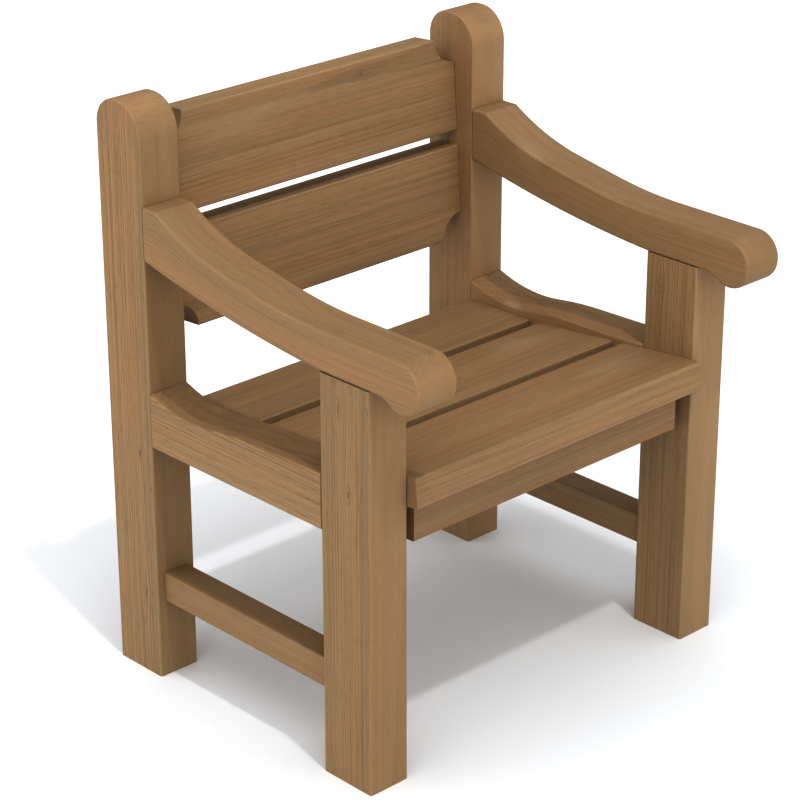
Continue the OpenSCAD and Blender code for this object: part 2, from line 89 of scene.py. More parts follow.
# Width of the camera's sensor in millimetres, and how far it sees
SENSOR_WIDTH = 36.0
VIEW_DEPTH = 60.0


# Kinds of setting

def length_setting(name, description, default, **limits):
    return FloatProperty(name=name, description=description, unit="LENGTH", default=default, **limits)


def angle_setting(name, description, degrees):
    return FloatProperty(name=name, description=description, unit="ROTATION", default=math.radians(degrees))


def share_setting(name, description, default):
    return FloatProperty(name=name, description=description, subtype="FACTOR", min=0, max=1, default=default)


def glow_setting(name, description, default):
    return FloatProperty(name=name, description=description, min=0, max=5, default=default)


def colour_setting(name, description, default):
    return FloatVectorProperty(
        name=name, description=description, subtype="COLOR", min=0, max=1, default=default)


def place_setting(name, description, default):
    return FloatVectorProperty(
        name=name, description=description, subtype="TRANSLATION", unit="LENGTH", default=default)


# Sizes and colours that a user would change

class TimberLook(PropertyGroup):
    """Colours and grain of the oiled timber."""
    pale: colour_setting("Pale Wood", "Colour of the wood between the growth lines", (0.362, 0.246, 0.136))
    warm: colour_setting("Warm Bands", "Colour of the reddish bands along the grain", (0.355, 0.225, 0.119))
    olive: colour_setting(
        "Olive Bands", "Colour of the grey-green bands along the grain", (0.290, 0.208, 0.122))
    growth: colour_setting(
        "Growth Lines", "Colour of the dense wood at each growth line", (0.188, 0.128, 0.071))
    # Pale patches: partly wear, and partly painted sheen on tops and dished faces
    wear_and_sheen: colour_setting("Worn Patches", "Colour of the wood where it is worn", (0.430, 0.325, 0.225))
    knot: colour_setting("Knots", "Colour of knots, pores and joint lines", (0.088, 0.056, 0.031))
    ring_gap: length_setting(
        "Ring Gap", "Average distance between two growth lines", 0.0048, min=0.002, max=0.02)
    growth_weight: share_setting("Growth Line Weight", "How dark the growth lines are", 0.42)
    line_weight: share_setting("Hair Line Weight", "How dark the fine lines along the grain are", 0.26)
    fibre_weight: share_setting("Fibre Weight", "How much the fine fibres show", 0.20)
    roughness: share_setting("Roughness", "Roughness of the oiled surface", 0.62)
    relief: length_setting("Grain Relief", "Height of the raised grain", 0.00022, min=0, max=0.001)


class TimberSizes(PropertyGroup):
    """Sizes of the planed timber that the frame doesn't carry."""
    arris: length_setting(
        "Arris", "Width taken off each sharp edge and shoulder", 0.0009, min=0.0002, max=0.003)
    edge_radius: length_setting(
        "Edge Radius", "Radius of the eased edges of straight timbers", 0.003, min=0.001, max=0.006)
    board: length_setting(
        "Board Thickness", "Thickness of the seat and back boards", 0.045, min=0.038, max=0.048)
    seat_tilt: angle_setting("Seat Tilt", "Backward fall of the front and middle seat boards", 5.9)
    rear_tilt: angle_setting("Rear Seat Tilt", "Backward fall of the rear seat board", 1.3)
    back_rake: angle_setting("Back Rake", "Lean of the back boards", 4.2)
    cove: length_setting(
        "Cove Radius", "Radius of the cove in each outer corner of the back", 0.041, min=0.03, max=0.048)
    tenon: length_setting(
        "Slim Tenon", "Thickness of the tenons on stretchers, boards and rear rail", 0.016,
        min=0.012, max=0.018)
    shoulder: length_setting("Shoulder", "Shoulder beside each tenon", 0.010, min=0.006, max=0.012)
    arm_height: length_setting("Arm Height", "Height of the flat underside of the arms", 0.613)
    arm_depth: length_setting("Arm Depth", "Depth of the flat part of the arms", 0.060)
    arm_under_rise: length_setting("Arm Underside Rise", "Rise of the arms' underside to the post", 0.053)
    arm_top_rise: length_setting("Arm Top Rise", "Rise of the arms' top to the post", 0.075)
    arm_level: length_setting("Arm Level End", "Length of the level end in front of the post", 0.029)


class ScrewSizes(PropertyGroup):
    """Sizes of the plated wood screws."""
    head_over: length_setting("Head Overhang", "How much wider the head is than the shank", 0.005)
    head: length_setting("Head Thickness", "Thickness of the head", 0.003)
    socket: length_setting("Drive Socket", "Width of the hexagon socket across its corners", 0.004)
    pitch: length_setting(
        "Thread Pitch", "Distance between two turns of the thread", 0.0028, min=0.0015, max=0.005)
    plate: colour_setting("Plating", "Colour of the zinc plating", (0.56, 0.55, 0.50))
    sides: IntProperty(
        name="Sides", description="Number of sides of a round screw", min=8, max=48, default=20)


class StudioSetup(PropertyGroup):
    """Camera, lights and floor."""
    eye: place_setting("Camera Place", "Place of the camera", (-2.5334, -2.5814, 2.0168))
    azimuth: angle_setting("Azimuth", "Turn of the camera about the chair, from the front", -43.501)
    elevation: angle_setting("Elevation", "Height of the camera above the horizon", 23.836)
    roll: angle_setting("Roll", "Turn of the camera about its own axis", -0.106)
    lens: FloatProperty(
        name="Focal Length", description="Focal length for a 36 mm sensor", unit="CAMERA", default=121.16)
    zenith: glow_setting("Overhead Glow", "Brightness of the white surround overhead", 1.22)
    left_glow: glow_setting("Left Glow", "Brightness of the surround on the chair's left", 1.2)
    front_glow: glow_setting("Front Glow", "Brightness of the surround in front of the chair", 1.0)
    key_place: place_setting("Key Light Place", "Place of the key light", (-1.48, -5.3, 12.8))
    key_power: FloatProperty(
        name="Key Light Power", description="Power of the key light", unit="POWER", min=0, max=5000,
        default=1800)
    key_radius: length_setting(
        "Key Light Radius", "Size of the key light, which softens its shadows", 0.3, min=0, max=2)
    contrast: FloatProperty(
        name="Contrast", description="How strongly the camera sets light and dark apart", min=0.5, max=2,
        default=1.5)
    floor: colour_setting("Floor", "Colour of the floor away from the chair", (0.852, 0.868, 0.893))
    # The floor is painted darker under the chair: painted shade
    worn_floor: colour_setting(
        "Floor Under the Chair", "Colour of the floor under the chair", (0.750, 0.770, 0.790))


# Nodes

class Field:
    """A socket that can be used in ordinary arithmetic, which adds Math nodes to its tree."""

    def __init__(self, maker, socket):
        self.maker = maker
        self.socket = socket

    def math(self, operation, *others):
        return self.maker.node("ShaderNodeMath", {"operation": operation}, [self, *others])

    def __add__(self, other):
        return self.math("ADD", other)

    def __mul__(self, other):
        return self.math("MULTIPLY", other)

    def __sub__(self, other):
        return self.math("SUBTRACT", other)

    def __truediv__(self, other):
        return self.math("DIVIDE", other)

    def __pow__(self, other):
        return self.math("POWER", other)

    def __neg__(self):
        return self * -1.0

    def __rsub__(self, other):
        return -self + other

    def __rtruediv__(self, other):
        return self.math("POWER", -1.0) * other

    __radd__ = __add__
    __rmul__ = __mul__


class Maker:
    """Adds nodes to one tree, of a material or of geometry."""

    def __init__(self, tree):
        self.tree = tree

    def node(self, kind, settings=None, sockets=(), output=0):
        """Adds a node with its settings and the values of its sockets, and gives one of its outputs."""
        made = self.tree.nodes.new(kind)
        for name, value in (settings or {}).items():
            setattr(made, name, value)
        for key, value in sockets.items() if isinstance(sockets, dict) else enumerate(sockets):
            self.feed(made.inputs[key], value)
        return Field(self, made.outputs[output]) if made.outputs else None

    def vector(self, x, y, z):
        return self.node("ShaderNodeCombineXYZ", None, [x, y, z])

    def split(self, place):
        """The three parts of a place or a direction."""
        parts = self.node("ShaderNodeSeparateXYZ", None, [place]).socket.node
        return [Field(self, socket) for socket in parts.outputs]

    def vector_math(self, operation, *values, output=0):
        """Adds one vector maths node."""
        return self.node("ShaderNodeVectorMath", {"operation": operation}, values, output)

    def feed(self, socket, value):
        """Links a field, or several into one socket, or sets a plain value."""
        if isinstance(value, Field):
            self.tree.links.new(value.socket, socket)
        elif isinstance(value, list):
            for field in value:
                self.tree.links.new(field.socket, socket)
        else:
            socket.default_value = value


class Finish(Maker):
    """Builds one material."""

    def __init__(self, name):
        self.material = bpy.data.materials.new(name)
        self.material.use_nodes = True
        super().__init__(self.material.node_tree)
        self.tree.nodes.clear()
        self.place = self.node("ShaderNodeTexCoord", output="Object")

    def blend(self, factor, low, high):
        """Mixes two colours."""
        colours = [(*colour, 1.0) if isinstance(colour, tuple) else colour for colour in (low, high)]
        return self.node("ShaderNodeMix", {"data_type": "RGBA"}, {0: factor, 6: colours[0], 7: colours[1]}, 2)

    def noise(self, place, scale, seed, detail=2.0):
        """Noise between about 0.2 and 0.8, stretched by a scale for each axis, per metre."""
        spread = self.vector_math("MULTIPLY", place, scale)
        shifted = self.vector_math("ADD", spread, (seed, -seed * 0.7, seed * 1.3))
        return self.node("ShaderNodeTexNoise", None, {"Vector": shifted, "Scale": 1.0, "Detail": detail})

    def ramp(self, value, low, high, smooth=True):
        """0 below low and 1 above high, with a smooth or a straight rise between them."""
        kind = "SMOOTHSTEP" if smooth else "LINEAR"
        return self.node("ShaderNodeMapRange", {"interpolation_type": kind},
                         {"Value": value, "From Min": low, "From Max": high})

    def surface(self, colour, roughness, height, depth, constants):
        """Ends the material in a shader with bumps depth metres high and constants for other sockets."""
        bump = self.node("ShaderNodeBump", None, {"Strength": 1.0, "Distance": depth, "Height": height})
        shader = self.node("ShaderNodeBsdfPrincipled", None, {
            "Base Color": colour, "Roughness": roughness, "Normal": bump, **constants})
        self.node("ShaderNodeOutputMaterial", None, {"Surface": shader})
        return self.material


# Where the grain of each piece runs. heart is the place of the tree's heart in the piece's section, from
# its middle: first across the chair (or through the board), then across the other way. shade makes a
# piece lighter or darker: partly the timber's own tone, and partly painted shade, darkest on the pieces
# hidden under the seat. figure is how strongly its grain shows, and calm how much slower the grain
# changes across the chair or through the board. An axis and a strength give painted shade, which darkens
# the faces that look along that axis. A knot is (place in the chair, radius), a band of painted shade is
# (place across the chair, half of its width, strength), and a pale patch of wear and painted sheen is
# (place, reach, strength).

def grain(runs, heart, seed, shade=1.0, figure=1.0, calm=0.5, swept=False, dulled=("Y", 0.0),
          knots=(), bands=(), patches=()):
    return dict(runs=runs, heart=heart, seed=seed, shade=shade, figure=figure, calm=calm, swept=swept,
                dulled=dulled, knots=knots, bands=bands, patches=patches)


GRAIN = {
    "front_leg_left": grain(
        "Z", (0.03, 0.15), 3.1, 0.98, 1.4, 0.15, bands=((-0.3505, 0.008, 0.6),),
        knots=(((-0.36, -0.172, 0.570), 0.007), ((-0.36, -0.190, 0.451), 0.007))),
    "front_leg_right": grain(
        "Z", (-0.03, 0.16), 8.4, 0.99, 1.4, 0.15, knots=(((0.29, -0.165, 0.568), 0.006),)),
    "rear_post_left": grain(
        "Z", (0.04, 0.17), 14.9, 1.13, 2.0, 0.15, dulled=("Y", 0.34),
        knots=(((-0.36, 0.257, 0.134), 0.007), ((-0.36, 0.26, 0.36), 0.005))),
    "rear_post_right": grain("Z", (-0.05, 0.16), 21.3, 1.01, calm=0.15),
    "arm_left": grain("Y", (0.05, 0.13), 33.7, 1.02, 0.8, 0.7, True, dulled=("Z", 0.32)),
    "arm_right": grain(
        "Y", (-0.05, 0.14), 41.2, 0.95, 0.8, 0.7, True, dulled=("Z", 0.15),
        patches=(((0.2943, 0.0999, 0.72), (0.02, 0.04, 0.04), 0.4),)),
    "side_rail_left": grain(
        "Y", (0.02, 0.12), 52.6, 1.10, 1.6, dulled=("Z", 0.5),
        patches=(((-0.292, 0.148, 0.443), (0.014, 0.02, 0.015), 0.5),)),
    "side_rail_right": grain(
        "Y", (-0.03, 0.11), 57.5, dulled=("Z", 0.2),
        patches=(((0.294, 0.14, 0.445), (0.014, 0.025, 0.015), 0.5),)),
    "side_stretcher_left": grain("Y", (0.03, 0.10), 61.8, 0.98, dulled=("Z", 0.2)),
    "side_stretcher_right": grain("Y", (-0.02, 0.12), 66.1, 0.95),
    "back_board_upper": grain(
        "X", (0.10, 0.05), 72.4, 1.0, 1.1, knots=(((0.097, 0.258, 0.837), 0.006),),
        patches=(((-0.14, 0.262, 0.808), (0.11, 0.05, 0.02), 0.3),)),
    "back_board_lower": grain("X", (0.09, -0.06), 79.9, 0.96, 0.9),
    "seat_board_front": grain(
        "X", (-0.07, 0.10), 84.2, 0.95, patches=(((0.2, -0.15, 0.462), (0.08, 0.03, 0.03), 0.35),)),
    "seat_board_middle": grain(
        "X", (0.06, 0.11), 91.6, 0.96, patches=(((0.19, 0.035, 0.443), (0.06, 0.035, 0.03), 0.4),)),
    "seat_board_rear": grain("X", (-0.04, 0.10), 97.3, 0.94),
    # The pieces under the seat are made darker, partly as painted shade
    "front_apron": grain("X", (0.10, -0.04), 103.8, 0.94),
    "rear_rail": grain("X", (0.09, 0.03), 108.2, 0.92),
    "seat_bearer_left": grain("Y", (0.08, 0.05), 113.7, 0.85),
    "seat_bearer_right": grain("Y", (-0.08, 0.04), 119.5, 0.85),
}

# Noise in the timber: scale per metre along, across and through it, shift from the piece's seed, and detail
LAYERS = {
    "wander": ((1.3, 9, 9), 0, 2.0),
    "sway": ((1.1, 8, 8), 5, 2.0),
    "ripple": ((4.5, 75, 75), 9, 2.0),
    "warm": ((0.5, 48, 48), 13, 4.0),
    "olive": ((0.7, 90, 90), 17, 4.0),
    "strand": ((2.0, 330, 330), 21, 2.0),
    "fibre": ((14, 900, 900), 25, 2.0),
    "pore": ((40, 1300, 1300), 29, 1.0),
    "hair": ((1.1, 125, 125), 33, 2.0),
    "tone": ((1.6, 13, 13), 37, 1.0),
    "knot_edge": ((190, 190, 190), 41, 2.0),
    "wear_and_sheen_edge": ((14, 60, 60), 45, 2.0),
}
# Value in the middle of a noise layer
EVEN = 0.5
# How strongly each layer colours the timber, raises its surface and changes its roughness
TINT = {"tone": 0.4, "olive": 0.6, "fibre": 0.5, "pore": 0.25, "end": 0.2, "joint": 0.8}
HEIGHT = {"strand": 0.5, "fibre": 0.35, "growth": 0.4, "hair": 0.2, "pore": 0.5}
GLOSS = {"strand": 0.25, "pore": 0.15, "growth": 0.08}
# The most that the slow olive tone may colour a piece
TONE_LIMIT = 0.45
# How far the tree's heart wanders, and how far its rings ripple
RING_WANDER = 0.016
RING_RIPPLE = 0.0035
# How late in a year's growth the wood turns dark, where its line ends, and the strength of the faintest line
RING_POWER = 4.0
RING_END = 0.92
RING_FAINTEST = 0.3
# How much longer the parting of the grain at a knot is than wide, its reach and strength, in knot radii
KNOT_LENGTH = 2.5
KNOT_REACH = 1.6
KNOT_PARTING = 0.8
# Darkness of a knot's core and of its rim
KNOT_CORE = 0.4
KNOT_RIM = 0.18
# Half of a joint's dark line: fully dark, and gone
JOINT_LINE = (0.0004, 0.0015)
# Range in which a face turns from looking across an axis to looking along it, and the same for end grain
FACING = (0.5, 0.9)
END_FACING = (0.35, 0.9)
# How much of the figure is lost on cut ends, of uprights and of other timbers, and on uprights' fronts
END_LOSS_UPRIGHT = 0.35
END_LOSS = 0.75
FRONT_LOSS = 0.7
# How steeply the top of the arms rises to the post
ARM_TOP_POWER = 2.4


def grain_axes(run, tilt):
    """Turn whose X axis is the grain's, for a grain along the chair's X, Y or Z axis."""
    along = Vector([float(axis == run) for axis in "XYZ"])
    across = Vector((0, math.cos(tilt), -math.sin(tilt))) if run == "X" else Vector((1, 0, 0))
    return Matrix((along, across, along.cross(across))).transposed()


def shoulders(node):
    """Places of a timber's shoulders along its grain, where it meets legs and posts."""
    if GRAIN[node]["runs"] == "Z" or node.startswith("seat_board"):
        return ()
    if GRAIN[node]["runs"] == "X":
        return -inner_x(), inner_x()
    leg_back, post_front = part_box("front_leg_left")[1].y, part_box("rear_post_left")[0].y
    return (post_front,) if GRAIN[node]["swept"] else (leg_back, post_front)


class Timber(Finish):
    """Solid wood whose growth rings, bands, lines, pores and knots run through the whole piece."""

    def __init__(self, piece, tilt=0.0):
        super().__init__(piece + "_timber")
        self.piece = piece
        self.spec = GRAIN[piece]
        self.look = bpy.context.scene.timber_look
        low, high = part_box(piece)
        self.middle = (low + high) / 2
        self.turn = grain_axes(self.spec["runs"], tilt)
        self.normal = self.node("ShaderNodeTexCoord", output="Normal")
        self.along, self.side, deep = self.grain_place()
        deep, self.knots = self.part_at_knots(deep)
        self.grown = self.vector(self.along, self.side, deep)
        self.calmed = self.vector(self.along, self.side * self.spec["calm"], deep)
        self.growth, self.weight = self.growth_rings(deep)
        self.end_grain, self.figure = self.figure_on_faces()
        thread = self.layer("hair", self.calmed)
        self.hair = 1 - self.ramp((thread - EVEN).math("ABSOLUTE"), 0.004, 0.034)
        self.strand = self.layer("strand", self.calmed)
        self.fibre = self.layer("fibre", self.grown)
        self.pore = self.ramp(self.layer("pore", self.grown), 0.64, 0.72)

    def layer(self, name, place):
        """One of the layers of noise, at a place in the piece."""
        scale, shift, detail = LAYERS[name]
        return self.noise(place, scale, self.spec["seed"] + shift, detail)

    def wood(self, name):
        """One of the timber's colours, scaled by the piece's shade: its own tone, and painted shade on hidden
        pieces.
        """
        return tuple(min(1.0, channel * self.spec["shade"]) for channel in getattr(self.look, name))

    def tinted(self, factor, colour, name):
        """The colour, blended towards one of the timber's own."""
        return self.blend(factor, colour, self.wood(name))

    def looks_along(self, axis):
        """1 on faces that look along an axis of the chair, and 0 on faces that look across it."""
        part = self.node("ShaderNodeSeparateXYZ", None, [self.normal], axis)
        return self.ramp(part.math("ABSOLUTE"), *FACING)

    def grain_place(self):
        """Distances from the middle of the piece: along its grain, across it and through it."""
        local = self.node("ShaderNodeMapping", {"vector_type": "TEXTURE"}, {
            "Vector": self.place, "Location": self.middle, "Rotation": self.turn.to_euler()})
        along, side, deep = self.split(local)
        if self.spec["swept"]:
            deep = self.swept_depth(along, deep)
        return along, side, deep

    def swept_depth(self, along, deep):
        """Depth in a swept arm, scaled so that the grain follows both of the arm's edges."""
        sizes = bpy.context.scene.timber_sizes
        leg_back, post_front = (place - self.middle.y for place in shoulders("side_rail_left"))
        under = self.ramp(along, leg_back, post_front, False) * sizes.arm_under_rise
        rise = self.ramp(along, leg_back, post_front - sizes.arm_level, False) ** ARM_TOP_POWER
        over = rise * sizes.arm_top_rise + sizes.arm_depth
        above = (self.middle.z - sizes.arm_height) - deep
        return (0.5 - (above - under) / (over - under)) * sizes.arm_depth

    def part_at_knots(self, deep):
        """The depth, where the grain parts around each knot, and how dark each knot is."""
        knots = []
        for place, radius in self.spec["knots"]:
            at = self.turn.transposed() @ (Vector(place) - self.middle)
            off = deep - at.z
            gap = (((self.along - at.x) / KNOT_LENGTH) ** 2.0 + off ** 2.0) ** 0.5
            nearness = ((gap / (radius * KNOT_REACH)) ** 2.0 * -1.0).math("EXPONENT")
            deep = deep - off * nearness * KNOT_PARTING
            ragged = gap + (self.layer("knot_edge", self.place) - EVEN) * radius
            core = 1 - self.ramp(ragged, radius * 0.1, radius * 0.5)
            rim = 1 - self.ramp((ragged - radius * 0.8).math("ABSOLUTE"), 0.0, radius * 0.3)
            knots.append(core * KNOT_CORE + rim * KNOT_RIM)
        return deep, knots

    def growth_rings(self, deep):
        """Dark line of each growth ring, and the ring's weight. The heart wanders along the tree."""
        heart_side, heart_deep = self.spec["heart"]
        from_side = self.side + (self.layer("wander", self.grown) - EVEN) * RING_WANDER - heart_side
        from_deep = deep + (self.layer("sway", self.grown) - EVEN) * RING_WANDER - heart_deep
        ripple = (self.layer("ripple", self.grown) - EVEN) * RING_RIPPLE
        ring = ((from_side ** 2.0 + from_deep ** 2.0) ** 0.5 + ripple) / self.look.ring_gap
        phase = ring.math("FRACT")
        weight = self.node("ShaderNodeTexWhiteNoise", {"noise_dimensions": "1D"}, {
            "W": ring.math("FLOOR") + self.spec["seed"]})
        line = phase ** RING_POWER * (1 - self.ramp(phase, RING_END, 1.0)) * (weight + RING_FAINTEST)
        return line, weight

    def figure_on_faces(self):
        """1 on cut ends, and how strongly the grain shows: less on cut ends and on uprights' fronts."""
        upright = self.spec["runs"] == "Z"
        facing = self.vector_math("DOT_PRODUCT", self.normal, tuple(self.turn.col[0]), output="Value")
        end_grain = self.ramp(facing.math("ABSOLUTE"), *END_FACING)
        figure = (1 - end_grain * (END_LOSS_UPRIGHT if upright else END_LOSS)) * self.spec["figure"]
        if upright:
            figure = figure * (1 - self.looks_along("Y") * FRONT_LOSS)
        return end_grain, figure

    def grain_colour(self):
        """Colour of clean wood: slow tones, bands, growth rings, hair lines, fibres and pores."""
        look, figure = self.look, self.figure
        ring_figure = figure * (1 - self.end_grain)
        warm = self.ramp(self.layer("warm", self.calmed), 0.38, 0.62)
        tone = self.ramp(self.layer("tone", self.grown), 0.4, 0.65)
        tone_weight = min(TONE_LIMIT, TINT["tone"] * self.spec["figure"])
        olive = self.ramp(self.layer("olive", self.calmed), 0.48, 0.68)
        hair = self.hair * (self.weight * 0.6 + 0.4) * look.line_weight
        strand = self.ramp(self.strand, 0.46, 0.7) * look.fibre_weight
        fibre = self.ramp(self.fibre, 0.45, 0.7) * look.fibre_weight * TINT["fibre"]
        colour = self.blend(warm, self.wood("pale"), self.wood("warm"))
        colour = self.tinted(tone * tone_weight, colour, "olive")
        colour = self.tinted(olive * TINT["olive"] * figure, colour, "olive")
        colour = self.tinted(self.growth * look.growth_weight * ring_figure, colour, "growth")
        colour = self.tinted(hair * ring_figure, colour, "growth")
        colour = self.tinted(strand * figure, colour, "growth")
        colour = self.tinted(fibre * figure, colour, "growth")
        return self.tinted(self.pore * figure * TINT["pore"], colour, "knot")

    def marked(self, colour):
        """The colour with knots, bands of painted shade, painted shade on the faces that look along one axis,
        and pale patches of wear and painted sheen.
        """
        # Bands of painted shade along the edge of a face, where a rounded arris shades it
        for place, half_width, strength in self.spec["bands"]:
            shade_band = 1 - self.ramp((self.side - (place - self.middle.x)).math("ABSOLUTE"), 0.0, half_width)
            colour = self.tinted(shade_band * strength, colour, "olive")
        # Painted shade: the faces that look along one axis are made darker
        axis, painted_shade = self.spec["dulled"]
        if painted_shade:
            colour = self.tinted(self.looks_along(axis) * painted_shade, colour, "growth")
        for knot in self.knots:
            colour = self.tinted(knot, colour, "knot")
        # Pale patches of wear and painted sheen, with ragged edges
        for place, reach, strength in self.spec["patches"]:
            off = self.vector_math("DIVIDE", self.vector_math("SUBTRACT", self.place, place), reach)
            spread = self.vector_math("LENGTH", off, output="Value")
            ragged = spread + (self.layer("wear_and_sheen_edge", self.grown) - EVEN) * 1.6
            wear_and_sheen_mask = (1 - self.ramp(ragged, 0.1, 1.2)) * (0.4 + self.strand) * strength
            colour = self.tinted(wear_and_sheen_mask, colour, "wear_and_sheen")
        return colour

    def soaked(self, colour):
        """The colour where cut ends soak up more oil, and where dirt settles in the joints."""
        colour = self.tinted(self.end_grain * TINT["end"], colour, "growth")
        for shoulder in shoulders(self.piece):
            at = self.turn.col[0].dot(Vector((shoulder, shoulder, shoulder)) - self.middle)
            joint = 1 - self.ramp((self.along - at).math("ABSOLUTE"), *JOINT_LINE)
            colour = self.tinted(joint * (1 - self.end_grain) * TINT["joint"], colour, "knot")
        return colour

    def dressed(self):
        """Builds the whole material."""
        colour = self.soaked(self.marked(self.grain_colour()))
        height = (self.strand * HEIGHT["strand"] + self.fibre * HEIGHT["fibre"]
                  - self.growth * HEIGHT["growth"] - self.hair * HEIGHT["hair"] - self.pore * HEIGHT["pore"])
        rough = (self.look.roughness + (self.strand - EVEN) * GLOSS["strand"]
                 + self.pore * GLOSS["pore"] - self.growth * GLOSS["growth"])
        return self.surface(colour, rough, height, self.look.relief, {"Specular IOR Level": 0.3})


def plating_finish():
    """Zinc plating with a soft mottle and fine turning marks."""
    f = Finish("screw_plating")
    mottle = f.noise(f.place, (420, 420, 420), 2.0, 3.0)
    marks = f.noise(f.place, (2400, 2400, 2400), 7.0, 1.0)
    plate = tuple(bpy.context.scene.screw_sizes.plate)
    dull = tuple(channel * 0.6 for channel in plate)
    colour = f.blend(f.ramp(mottle, 0.35, 0.7), plate, dull)
    rough = 0.28 + mottle * 0.3
    return f.surface(colour, rough, mottle * 0.6 + marks * 0.4, 0.00004, {"Metallic": 1.0})


# Meshes

def new_object(name, data):
    """Adds an object to the scene."""
    made = bpy.data.objects.new(name, data)
    bpy.context.scene.collection.objects.link(made)
    return made


def modified(mesh, kind, **settings):
    """Plain mesh after one modifier. Settings for sockets are given by their identifier."""
    piece = new_object("work", mesh)
    modifier = piece.modifiers.new("work", kind)
    for name, value in settings.items():
        if name.startswith("Socket_"):
            modifier[name] = value
        else:
            setattr(modifier, name, value)
    graph = bpy.context.evaluated_depsgraph_get()
    result = bpy.data.meshes.new_from_object(piece.evaluated_get(graph))
    bpy.data.objects.remove(piece)
    return result


def grown(tree, points=None, **inputs):
    """The mesh that a geometry tree makes, with its inputs given by name, and its points if it has any."""
    identifiers = {item.name: item.identifier for item in tree.interface.items_tree if item.in_out == "INPUT"}
    settings = {identifiers[name.replace("_", " ")]: value for name, value in inputs.items()}
    return modified(points or bpy.data.meshes.new("work"), "NODES", node_group=tree, **settings)


def welded(node):
    """A CAD node's mesh for editing, with its corners joined."""
    work = bmesh.new()
    work.from_mesh(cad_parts[node].data)
    bmesh.ops.remove_doubles(work, verts=work.verts, dist=WELD)
    return work


def merged_copy(node):
    """Copy of a CAD node whose loose triangles are joined into whole flat faces."""
    work = welded(node)
    bmesh.ops.dissolve_limit(work, angle_limit=FLAT_TURN, verts=work.verts, edges=work.edges)
    mesh = bpy.data.meshes.new("work")
    work.to_mesh(mesh)
    work.free()
    return mesh


def eased(mesh, arris):
    """Takes the arris off each sharp edge, and shades the rounded edges smoothly between flat faces.

    Faces with many corners are split last, so that hollow outlines are filled rightly."""
    mesh = modified(mesh, "BEVEL", width=arris, segments=2, limit_method="ANGLE", angle_limit=ARRIS_TURN)
    mesh.shade_smooth()
    mesh.set_sharp_from_angle(angle=SMOOTH_TURN)
    mesh = modified(mesh, "WEIGHTED_NORMAL", mode="FACE_AREA", weight=80, keep_sharp=True)
    return modified(mesh, "TRIANGULATE", min_vertices=5, ngon_method="BEAUTY", keep_custom_normals=True)


def add_piece(name, mesh, material, slot, *nodes):
    """Adds a finished piece, which rides on the chair and stands for its CAD nodes."""
    if not mesh.polygons:
        raise RuntimeError(name + " came out empty")
    mesh.name = name
    mesh.materials.clear()
    mesh.materials.append(material)
    piece = new_object(name, mesh)
    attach(piece, BODY)
    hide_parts(*nodes)


def add_shaped_pair(name, slot):
    for side in ("left", "right"):
        add_shaped_timber(name + "_" + side, slot)


def add_shaped_timber(node, slot):
    """Adds a piece whose shape is the CAD node's own, with its arrises taken off."""
    sizes = bpy.context.scene.timber_sizes
    add_piece(node + "_timber", eased(merged_copy(node), sizes.arris), Timber(node).dressed(), slot, node)


# Geometry trees

def tree_with(name, sockets):
    """A geometry tree with named inputs, given as name, socket type and default."""
    tree = bpy.data.node_groups.new(name, "GeometryNodeTree")
    tree.interface.new_socket(name="Geometry", in_out="OUTPUT", socket_type="NodeSocketGeometry")
    for socket_name, kind, default in sockets:
        socket = tree.interface.new_socket(name=socket_name, in_out="INPUT", socket_type="NodeSocket" + kind)
        if default is not None:
            socket.default_value = default
    maker = Maker(tree)
    group = maker.node("NodeGroupInput").socket.node
    fields = {socket.name: Field(maker, socket) for socket in group.outputs if socket.name}
    return maker, fields


def joined(maker, *shapes):
    return maker.node("GeometryNodeJoinGeometry", None, [list(shapes)])


def moved(maker, shape, x, z):
    """A shape moved by x and z."""
    return maker.node("GeometryNodeTransform", None, {
        "Geometry": shape, "Translation": maker.vector(x, 0.0, z)})


def finish_tree(maker, geometry, material):
    real = maker.node("GeometryNodeRealizeInstances", None, [geometry])
    painted = maker.node("GeometryNodeSetMaterial", None, {"Geometry": real, "Material": material})
    maker.node("NodeGroupOutput", None, {"Geometry": painted})
    return maker.tree


